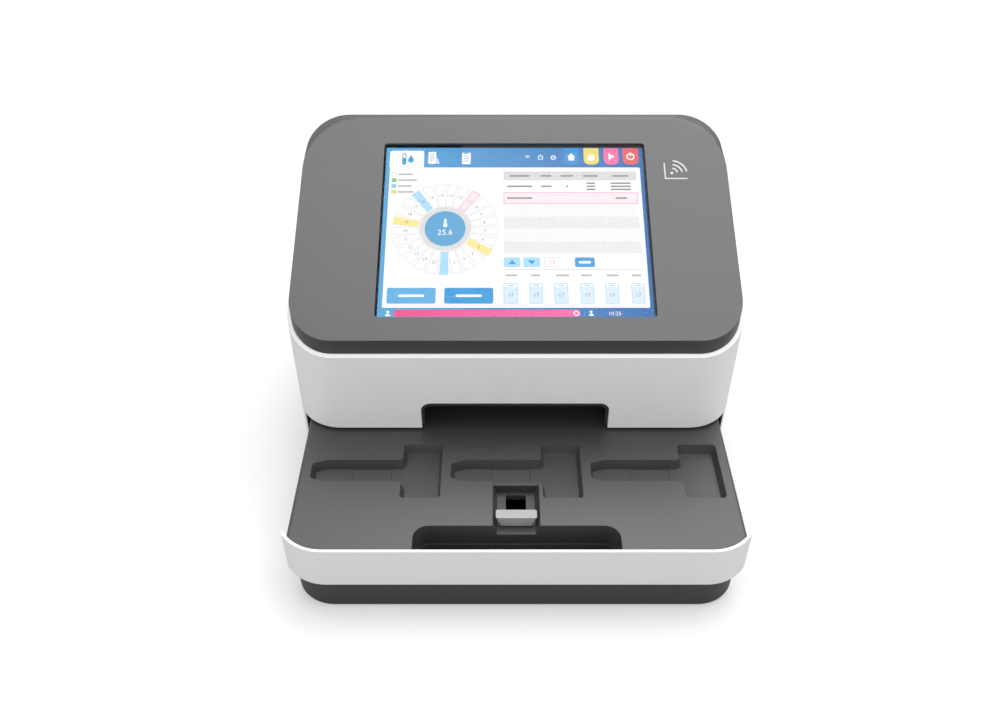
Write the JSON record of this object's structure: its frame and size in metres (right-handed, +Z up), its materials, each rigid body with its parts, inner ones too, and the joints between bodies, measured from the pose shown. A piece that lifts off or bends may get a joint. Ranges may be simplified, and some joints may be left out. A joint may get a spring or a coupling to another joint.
{
  "type": "rapid test reader",
  "caption": "Bench reader for rapid test cassettes, with a tilted touch display above a pull-out cassette drawer.",
  "frame": {"origin": "on the resting surface, under the middle of the unit with its drawer pulled out", "axes": "+X to the right seen from the front, +Y from the drawer front to the rear panel, +Z up"},
  "size_m": [0.352, 0.329, 0.2411],
  "materials": {
    "dark_plastic": "fine matte texture",
    "white_plastic": "fine satin",
    "black_plastic": "matte",
    "gloss_black": "gloss",
    "rubber": "matte",
    "belt_rubber": "matte",
    "screen_glass": "polished",
    "screen_image": "lit display",
    "clear_glass": "polished",
    "sheet_steel": "satin",
    "bright_steel": "ground",
    "screw_steel": "zinc plated",
    "black_anodised": "anodised",
    "aluminium": "machined",
    "brass": "machined",
    "slide_plastic": "natural",
    "circuit_board": "solder mask"
  },
  "bodies": {
    "housing": {"base_tray": "dark_plastic", "foot_pads": "rubber", "mid_shell": "white_plastic", "top_cover": "dark_plastic", "touch_glass": "screen_glass", "display_panel": "screen_image", "display_frame": "sheet_steel", "display_screws": "screw_steel", "antenna_board": "circuit_board", "bay_liner": "black_plastic", "scan_window": "clear_glass", "rod_bracket_left": "sheet_steel", "rod_bracket_right": "sheet_steel", "front_guide_rod": "bright_steel", "rear_guide_rod": "bright_steel", "stepper_motor": "sheet_steel", "idler_post": "bright_steel", "drive_belt": "belt_rubber", "home_sensor": "black_plastic", "main_board": "circuit_board", "power_board": "circuit_board", "board_standoffs": "brass", "board_screws": "screw_steel", "rear_panel": "black_plastic", "power_inlet": "black_plastic", "switch_housing": "black_plastic", "data_ports": "sheet_steel", "fan_frame": "black_plastic", "panel_screws": "screw_steel", "drawer_rail_left": "sheet_steel", "drawer_rail_right": "sheet_steel", "rail_screws": "screw_steel", "latch_striker": "sheet_steel"},
    "drawer": {"drawer_runner_left": "slide_plastic", "drawer_runner_right": "slide_plastic", "drawer_pan": "dark_plastic", "drawer_deck": "dark_plastic", "drawer_fascia": "white_plastic", "slot_inserts": "dark_plastic", "latch_pin": "bright_steel", "latch_spring": "bright_steel", "drawer_screws": "screw_steel"},
    "release_tab": {"release_tab": "white_plastic"},
    "latch_pawl": {"latch_pawl": "slide_plastic"},
    "scan_head": {"scan_carriage": "black_anodised", "carriage_bushes": "brass", "lens_barrel": "black_anodised", "camera_board": "circuit_board", "light_board": "circuit_board"},
    "motor_pulley": {"motor_pulley": "aluminium", "motor_shaft": "bright_steel"},
    "idler_pulley": {"idler_pulley": "aluminium"},
    "rocker": {"rocker_switch": "gloss_black"},
    "fan_rotor": {"fan_rotor": "black_plastic"}
  },
  "joints": [
    {"name": "drawer_slide", "type": "slide", "parent": "housing", "child": "drawer", "axis": [0, 1, 0], "range_m": [0, 0.1229]},
    {"name": "release_tab_slide", "type": "slide", "parent": "drawer", "child": "release_tab", "axis": [0, -1, 0], "range_m": [0, 0.004], "stiffness_N_per_m": 400},
    {"name": "latch_pawl_pivot", "type": "hinge", "parent": "drawer", "child": "latch_pawl", "pos_m": [0, -0.13355, 0.03], "axis": [1, 0, 0], "range_deg": [0, 23.12]},
    {"name": "scan_slide", "type": "slide", "parent": "housing", "child": "scan_head", "axis": [1, 0, 0], "range_m": [0, 0.235]},
    {"name": "motor_pulley_spin", "type": "hinge", "parent": "housing", "child": "motor_pulley", "pos_m": [0.14, 0.09045, 0.12], "axis": [0, 0, 1], "range_deg": [0, 1871.07]},
    {"name": "idler_pulley_spin", "type": "hinge", "parent": "housing", "child": "idler_pulley", "pos_m": [-0.15, 0.09045, 0.12], "axis": [0, 0, 1], "range_deg": [0, 1871.07]},
    {"name": "rocker_swing", "type": "hinge", "parent": "housing", "child": "rocker", "pos_m": [-0.052, 0.15765, 0.134], "axis": [1, 0, 0], "range_deg": [-9, 9]},
    {"name": "fan_spin", "type": "hinge", "parent": "housing", "child": "fan_rotor", "pos_m": [0.08, 0.15395, 0.134], "axis": [0, 1, 0], "continuous": true}
  ],
  "couplings": [
    {"joint": "latch_pawl_pivot", "follows": "release_tab_slide", "rad_per_m": 100},
    {"joint": "motor_pulley_spin", "follows": "scan_slide", "rad_per_m": 138.89},
    {"joint": "idler_pulley_spin", "follows": "scan_slide", "rad_per_m": 138.89}
  ]
}
